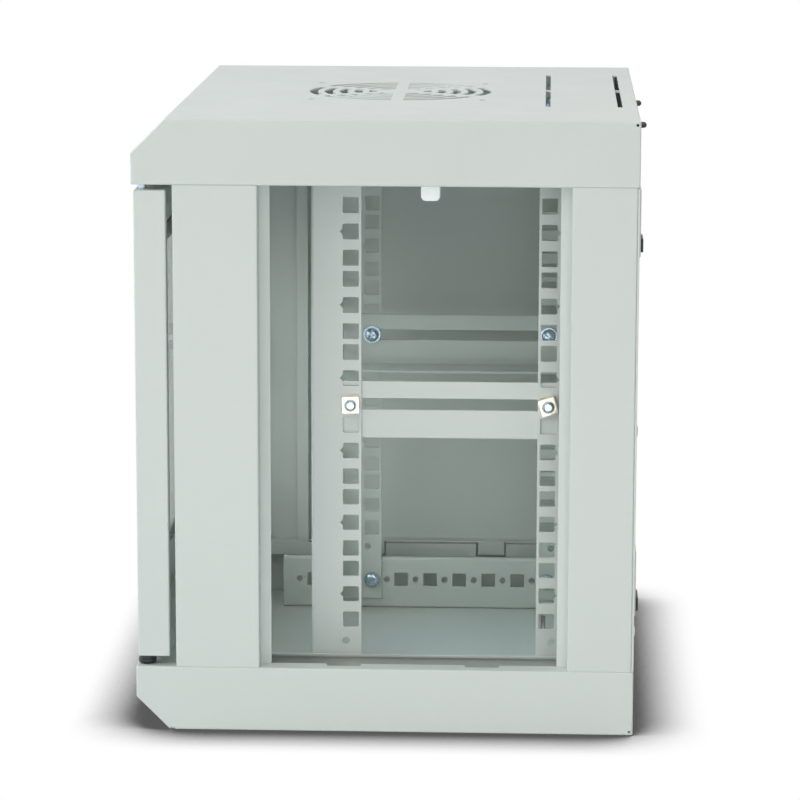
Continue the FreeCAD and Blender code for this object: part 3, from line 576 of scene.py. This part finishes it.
def machineBolt(headRadius, headTall, length, recess):
    # pan head with a cross recess over a threaded shank that runs down from the seat
    thread, ease = threadSizes, headShape["ease"]
    crown, shoulder = headRadius * headShape["crown"], headTall * headShape["shoulder"]
    profile = [(0.0, headTall), *quarterRound(headRadius, headTall, crown, shoulder)]
    profile += [(headRadius, ease), (headRadius - ease, 0.0), (thread["radius"], 0.0)]
    turns = int((length - thread["tipChamfer"]) / thread["pitch"])
    for step in range(turns):
        profile.append((thread["radius"], -thread["pitch"] * (step + 0.25)))
        profile.append((thread["radius"] - thread["depth"], -thread["pitch"] * (step + 0.75)))
    tip = thread["radius"] - thread["tipChamfer"]
    profile += [(thread["radius"], -length + thread["tipChamfer"]), (tip, -length),
                (0.0, -length - thread["tipProud"])]
    arms = []
    for turn in (0, 90):
        arm = block((-recess["reach"], -recess["wide"] / 2, headTall - recess["deep"]),
                    (recess["reach"], recess["wide"] / 2, headTall + headShape["cutAbove"]))
        foot = [vert for vert in arm.verts if vert.co.z < headTall]
        bmesh.ops.scale(arm, verts=foot, vec=headShape["recessFoot"])
        aside = Matrix.Rotation(math.radians(turn), 3, "Z")
        bmesh.ops.rotate(arm, verts=arm.verts, cent=(0, 0, 0), matrix=aside)
        arms.append(arm)
    return carve(lathe(profile), gather(arms))


def squareNut(sizes):
    wide, thick = sizes["wide"], sizes["thick"]
    nut = block((-wide / 2, -wide / 2, 0), (wide / 2, wide / 2, thick))
    roundEdges(nut, lambda first, second: abs(first.z - second.z) > thick / 2, sizes["corner"], 4)
    roundEdges(nut, lambda first, second: min(first.z, second.z) > thick / 2, sizes["rim"], 3)
    bore, sink, past = sizes["bore"], sizes["sink"], sizes["cutPast"]
    return carve(nut, lathe([(0, -past), (bore, -past), (bore, thick - sink),
                             (bore + sink, thick), (bore + sink, thick + past), (0, thick + past)]))


def flatWasher(sizes):
    inner, outer, thick, ease = sizes["inner"], sizes["outer"], sizes["thick"], sizes["ease"]
    return lathe([(inner, 0), (outer - ease, 0), (outer, ease), (outer, thick - ease),
                  (outer - ease, thick), (inner + ease, thick), (inner, thick - ease)], closed=True)


# the rails, bars and runners are held by M6 bolts whose heads face in and nuts face out
runnerBoltSizes = {
    "headTall": 0.0042,
    "recess": {"reach": 0.0025, "wide": 0.0011, "deep": 0.0021},
    "turns": (12.0, 51.0, 33.0, 74.0),
}
railBoltSizes = {
    "headTall": 0.0036,
    "recess": {"reach": 0.0029, "wide": 0.0012, "deep": 0.0021},
    "turns": (28.0, 63.0, 8.0, 41.0, 17.0, 80.0, 55.0, 36.0),
}
nutSizes = {
    "wide": 0.0106,
    "thick": 0.0050,
    "corner": 0.0011,
    "rim": 0.00045,
    "bore": 0.00302,
    "sink": 0.0008,
    "cutPast": 0.001,
    "runnerTurns": (3.0, -6.0, 2.0, 17.0),
    "railTurns": (4.0, 0.0, -3.0, 8.0, 0.0, 5.0, -2.0, 3.0),
}
washerSizes = {"inner": 0.00315, "outer": 0.0060, "thick": 0.0010, "ease": 0.0002}


def sideOf(box):
    return 1 if box[0].x + box[1].x > 0 else -1


def inwardEnd(box):
    # the axis point nearest the cabinet's middle
    middle = (box[0] + box[1]) / 2
    return Vector((min(box[0].x, box[1].x, key=abs), middle.y, middle.z))


def makeBolts(name, nodeName, sizes):
    boxes = islandBoxes(nodeName)
    low, high = boxes[0]
    length = high.x - low.x - sizes["headTall"]
    bolt = machineBolt((high.z - low.z) / 2, sizes["headTall"], length, sizes["recess"])
    solids = []
    for box, turn in zip(boxes, sizes["turns"]):
        side = sideOf(box)
        seat = inwardEnd(box) + Vector((side * sizes["headTall"], 0, 0))
        solids.append(standAt(bolt, seat, (-side, 0, 0), turn))
    bolt.free()
    addPiece(name, solids, "cabinet", "zinc_steel", nodeName)


def makeNuts(name, nodeName, turns):
    nut = squareNut(nutSizes)
    solids = [standAt(nut, inwardEnd(box), (sideOf(box), 0, 0), turn)
              for box, turn in zip(islandBoxes(nodeName), turns)]
    nut.free()
    addPiece(name, solids, "cabinet", "nickel_steel", nodeName)


makeBolts("runnerBolts", "runner_bolts", runnerBoltSizes)
makeBolts("railBolts", "rail_bolts", railBoltSizes)
makeNuts("runnerNuts", "runner_nuts", nutSizes["runnerTurns"])
makeNuts("railNuts", "rail_nuts", nutSizes["railTurns"])
washer = flatWasher(washerSizes)
washers = [standAt(washer, inwardEnd(box), (sideOf(box), 0, 0)) for box in islandBoxes("runner_washers")]
addPiece("runnerWashers", washers, "cabinet", "zinc_steel", "runner_washers")
washer.free()
print("rack fasteners made")

catchSizes = {
    "hang": 0.0090,
    "cornerRadius": 0.0030,
    "edgeRadius": 0.0006,
    "stemInset": 0.0012,
    "stemHalf": 0.003,
    "stemSunk": 0.001,
    "barbHalf": 0.004,
    "barbTall": 0.0012,
    "barbRadius": 0.0003,
}


def makeCatch(name, nodeName):
    # a moulded block under the roof's rim, with a barbed stem pushed up through it
    low, high = (Vector(corner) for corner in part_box(nodeName))
    seat = low.z + catchSizes["hang"]
    near = 0.001
    body = block(low, (high.x, high.y, seat))

    def isLowerCorner(first, second):
        return abs(first.x - second.x) > near and max(first.z, second.z) < seat - near

    roundEdges(body, isLowerCorner, catchSizes["cornerRadius"], 8)
    roundSharp(body, catchSizes["edgeRadius"], 3)
    middle = (low.y + high.y) / 2
    left, right = low.x + catchSizes["stemInset"], high.x - catchSizes["stemInset"]
    stemHalf, barbHalf = catchSizes["stemHalf"], catchSizes["barbHalf"]
    stem = block((left, middle - stemHalf, seat - catchSizes["stemSunk"]), (right, middle + stemHalf, high.z))
    barb = block((left, middle - barbHalf, high.z - catchSizes["barbTall"]),
                 (right, middle + barbHalf, high.z))
    roundSharp(barb, catchSizes["barbRadius"])
    addPiece(name, [body, stem, barb], "cabinet", "white_nylon", nodeName)


makeCatch("panelCatchRight", "panel_catch_right")
makeCatch("panelCatchLeft", "panel_catch_left")

padSizes = {"edge": 0.0005}


def makeWallPads():
    pads = []
    for low, high in islandBoxes("wall_pads"):
        pad = block(low, high)
        roundSharp(pad, padSizes["edge"], 3)
        pads.append(pad)
    addPiece("wallPads", pads, "cabinet", "black_plastic", "wall_pads")


makeWallPads()


def turnedFasteners(nodeName, proud, profileOf):
    # one lathe-turned fastener in each solid's box, its head facing the wall
    solids = []
    for low, high in islandBoxes(nodeName):
        middle, radius = (low + high) / 2, (high.z - low.z) / 2
        fastener = lathe(profileOf(radius, high.y - low.y - proud), steps=24)
        solids.append(standAt(fastener, (middle.x, high.y - proud, middle.z), (0, 1, 0)))
        fastener.free()
    return solids


studSizes = {"proud": 0.0039, "ease": 0.0002, "shank": 0.0015, "taperFrom": 0.7}


def studProfile(radius, deep):
    # domed head over a pin with a pointed end
    proud, ease, shank = studSizes["proud"], studSizes["ease"], studSizes["shank"]
    return [*quarterRound(radius, proud, 0.0, proud - radius, 8), (radius, ease), (radius - ease, 0),
            (shank, 0), (shank, -deep * studSizes["taperFrom"]), (0, -deep)]


rivetSizes = {
    "proud": 0.0008,
    "rim": 0.00015,
    "ease": 0.0001,
    "shank": 0.0020,
    "setEnd": 0.0028,
    "setLong": 0.0020,
    "setEase": 0.0005,
}


def rivetProfile(radius, deep):
    # low dome over a shank that is set wider at its far end
    sizes = rivetSizes
    shank, setEnd, setEase = sizes["shank"], sizes["setEnd"], sizes["setEase"]
    setFrom = -deep + sizes["setLong"]
    return [*quarterRound(radius, sizes["proud"], 0.0, sizes["rim"], 8), (radius - sizes["ease"], 0),
            (shank, 0), (shank, setFrom), (setEnd, setFrom), (setEnd, -deep + setEase),
            (setEnd - setEase, -deep), (0, -deep)]


studs = turnedFasteners("roof_studs", studSizes["proud"], studProfile)
addPiece("roofStuds", studs, "cabinet", "black_plastic", "roof_studs")
rivets = turnedFasteners("panel_rivets", rivetSizes["proud"], rivetProfile)
addPiece("panelRivets", rivets, "cabinet", "powder_coat", "panel_rivets")

bushSizes = {
    "bore": 0.00255,
    "lowerRound": 0.0016,
    "upperEase": 0.0004,
    "waist": 0.0005,
    "waistFrom": 0.55,
    "waistTo": 0.60,
}


def roundedRim(radius, height, rim, start, count=6):
    # points of a quarter circle between an end face and the side, from its start angle
    points = []
    for step in range(1, count + 1):
        turn = math.radians(start + 90 * step / count)
        points.append((radius - rim + rim * math.cos(turn), height + rim * math.sin(turn)))
    return points


def makeHingeBush():
    low, high = (Vector(corner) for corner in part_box("hinge_bush"))
    middle, outer, tall = (low + high) / 2, (high.x - low.x) / 2, high.z - low.z
    bore, lower, ease = bushSizes["bore"], bushSizes["lowerRound"], bushSizes["upperEase"]
    waist = outer - bushSizes["waist"]
    profile = [(bore, 0), (outer - lower, 0), *roundedRim(outer, lower, lower, -90),
               (outer, tall * bushSizes["waistFrom"]), (waist, tall * bushSizes["waistTo"]),
               (waist, tall - ease), (waist - ease, tall), (bore + ease, tall), (bore, tall - ease)]
    bush = standAt(lathe(profile, closed=True), (middle.x, middle.y, low.z), (0, 0, 1))
    addPiece("hingeBush", [bush], "cabinet", "black_plastic", "hinge_bush")


makeHingeBush()

lockSizes = {
    "bore": 0.00555,
    "boreEase": 0.0003,
    "body": 0.0090,
    "bodyEase": 0.0005,
    "faceThick": 0.0033,
    "rim": 0.0012,
    "step": 0.0014,
    "stepEase": 0.0006,
    "stepDeep": 0.0005,
    "boreStart": 0.0008,
}


def makeLockHousing():
    # a turned flange on the door's face, stepped down round the barrel
    low, high = (Vector(corner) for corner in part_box("lock_housing"))
    middle, outer = (low + high) / 2, (high.x - low.x) / 2
    sizes = lockSizes
    face, rim, bore, body = sizes["faceThick"], sizes["rim"], sizes["bore"], sizes["body"]
    bottom, ledge, sunk = face - (high.y - low.y), bore + sizes["step"], face - sizes["stepDeep"]
    profile = [(bore, bottom), (body - sizes["bodyEase"], bottom), (body, bottom + sizes["bodyEase"]),
               (body, 0), (outer, 0), (outer, face - rim), *roundedRim(outer, face - rim, rim, 0),
               (ledge + sizes["stepEase"], face), (ledge, sunk), (bore + sizes["boreEase"], sunk),
               (bore, face - sizes["boreStart"])]
    flange = lathe(profile, closed=True, steps=48)
    housing = standAt(flange, (middle.x, low.y + face, middle.z), (0, -1, 0))
    addPiece("lockHousing", [housing], "door", "chromed_zinc", "lock_housing")


makeLockHousing()
print("small moulded and turned pieces made")

stageSize = {
    "floor": 14.0,
    "lift": -0.0005,
    "colour": (0.86, 0.865, 0.87, 1),
    "contactReach": 0.048,
    "contactDark": 0.10,
    "closedFrom": 0.58,
    "openFrom": 0.97,
    "contactSamples": 16,
}


def seenDirectly(tree):
    path = tree.nodes.new("ShaderNodeLightPath").outputs
    seen = maths(tree, "MAXIMUM", path["Is Camera Ray"], path["Is Transmission Ray"])
    return maths(tree, "MAXIMUM", seen, path["Is Glossy Ray"])


def makeFloor():
    bm = bmesh.new()
    bmesh.ops.create_grid(bm, x_segments=1, y_segments=1, size=stageSize["floor"] / 2)
    bmesh.ops.translate(bm, verts=bm.verts, vec=(0, 0, stageSize["lift"]))
    mesh = bpy.data.meshes.new("floor")
    bm.to_mesh(mesh)
    bm.free()
    floor = bpy.data.objects.new("floor", mesh)
    bpy.context.scene.collection.objects.link(floor)
    material = bpy.data.materials.new("paleFloor")
    material.use_nodes = True
    tree = material.node_tree
    tree.nodes.clear()
    diffuse = addNode(tree, "BsdfDiffuse", Color=stageSize["colour"])
    glow = addNode(tree, "Emission", Color=(1, 1, 1, 1))
    # seen directly the floor is white, but for the contact shadow round the base
    nearness = addNode(tree, "AmbientOcclusion", samples=stageSize["contactSamples"],
                       Distance=stageSize["contactReach"])
    clear = spread(tree, nearness.outputs["AO"], stageSize["contactDark"], 1.0,
                   stageSize["closedFrom"], stageSize["openFrom"])
    join(tree, clear, glow.inputs["Strength"])
    choose = tree.nodes.new("ShaderNodeMixShader")
    join(tree, seenDirectly(tree), choose.inputs[0])
    join(tree, diffuse.outputs[0], choose.inputs[1])
    join(tree, glow.outputs[0], choose.inputs[2])
    join(tree, choose.outputs[0], tree.nodes.new("ShaderNodeOutputMaterial").inputs["Surface"])
    mesh.materials.append(material)


ambient = {"strength": 0.06, "colour": (0.95, 0.98, 1.0, 1)}


def makeWorld():
    world = bpy.data.worlds.new("studio")
    world.use_nodes = True
    tree = world.node_tree
    shown = tree.nodes["Background"]
    shown.inputs["Color"].default_value = (1, 1, 1, 1)
    lighting = addNode(tree, "Background", Color=ambient["colour"], Strength=ambient["strength"])
    choose = tree.nodes.new("ShaderNodeMixShader")
    join(tree, seenDirectly(tree), choose.inputs[0])
    join(tree, lighting.outputs[0], choose.inputs[1])
    join(tree, shown.outputs[0], choose.inputs[2])
    join(tree, choose.outputs[0], tree.nodes["World Output"].inputs["Surface"])
    bpy.context.scene.world = world


def makeSoftbox(name, place, target, width, height, watts, colour):
    data = bpy.data.lights.new(name, "AREA")
    data.shape = "RECTANGLE"
    data.size, data.size_y = width, height
    data.energy = watts
    data.color = colour
    lamp = bpy.data.objects.new(name, data)
    lamp.location = place
    lamp.rotation_euler = (Vector(target) - Vector(place)).to_track_quat("-Z", "Y").to_euler()
    bpy.context.scene.collection.objects.link(lamp)


lamps = {
    "key": {"place": (2.0, -2.2, 1.5), "size": (2.2, 2.2), "watts": 32.0, "colour": (1.0, 0.985, 0.955)},
    "top": {"place": (0.5, 0.0, 2.8), "size": (2.6, 2.6), "watts": 38.5, "colour": (1.0, 0.97, 0.99)},
    "front": {"place": (2.9, 0.1, 0.75), "size": (1.8, 1.4), "watts": 8.0, "colour": (0.93, 1.0, 1.0)},
    "high": {"place": (1.7, 0.1, 1.7), "size": (1.2, 1.2), "watts": 6.0, "colour": (1.0, 0.98, 0.95)},
    "low": {"place": (0.85, 0.05, 0.05), "size": (1.2, 0.08), "watts": 1.15, "colour": (0.86, 0.94, 1.0)},
    "back": {"place": (-1.4, 2.6, 1.3), "size": (1.8, 1.8), "watts": 24.0, "colour": (1.0, 0.99, 0.97)},
    "window": {"place": (-0.5, -2.6, 1.3), "size": (1.6, 1.6), "watts": 44.0, "colour": (0.68, 0.86, 1.0)},
}
makeFloor()
makeWorld()
middle = (cadLow + cadHigh) / 2
for name, lamp in lamps.items():
    makeSoftbox(name, lamp["place"], middle, *lamp["size"], lamp["watts"], lamp["colour"])

cameraView = {
    "place": (2.1990, 0.0937, 0.5802),
    "aim": (0.0, 0.0009, 0.1696),
    "roll": 0.0022,
    "lens": 157.74,
}


def makeCamera():
    data = bpy.data.cameras.new("camera")
    data.lens = cameraView["lens"]
    data.sensor_width = 36.0
    data.clip_start = 0.05
    camera = bpy.data.objects.new("camera", data)
    place = Vector(cameraView["place"])
    look = (Vector(cameraView["aim"]) - place).to_track_quat("-Z", "Y").to_matrix().to_4x4()
    camera.matrix_world = Matrix.Translation(place) @ look @ Matrix.Rotation(cameraView["roll"], 4, "Z")
    bpy.context.scene.collection.objects.link(camera)
    bpy.context.scene.camera = camera


makeCamera()
bpy.context.scene.view_settings.view_transform = "Standard"
print("stage, light and camera ready")
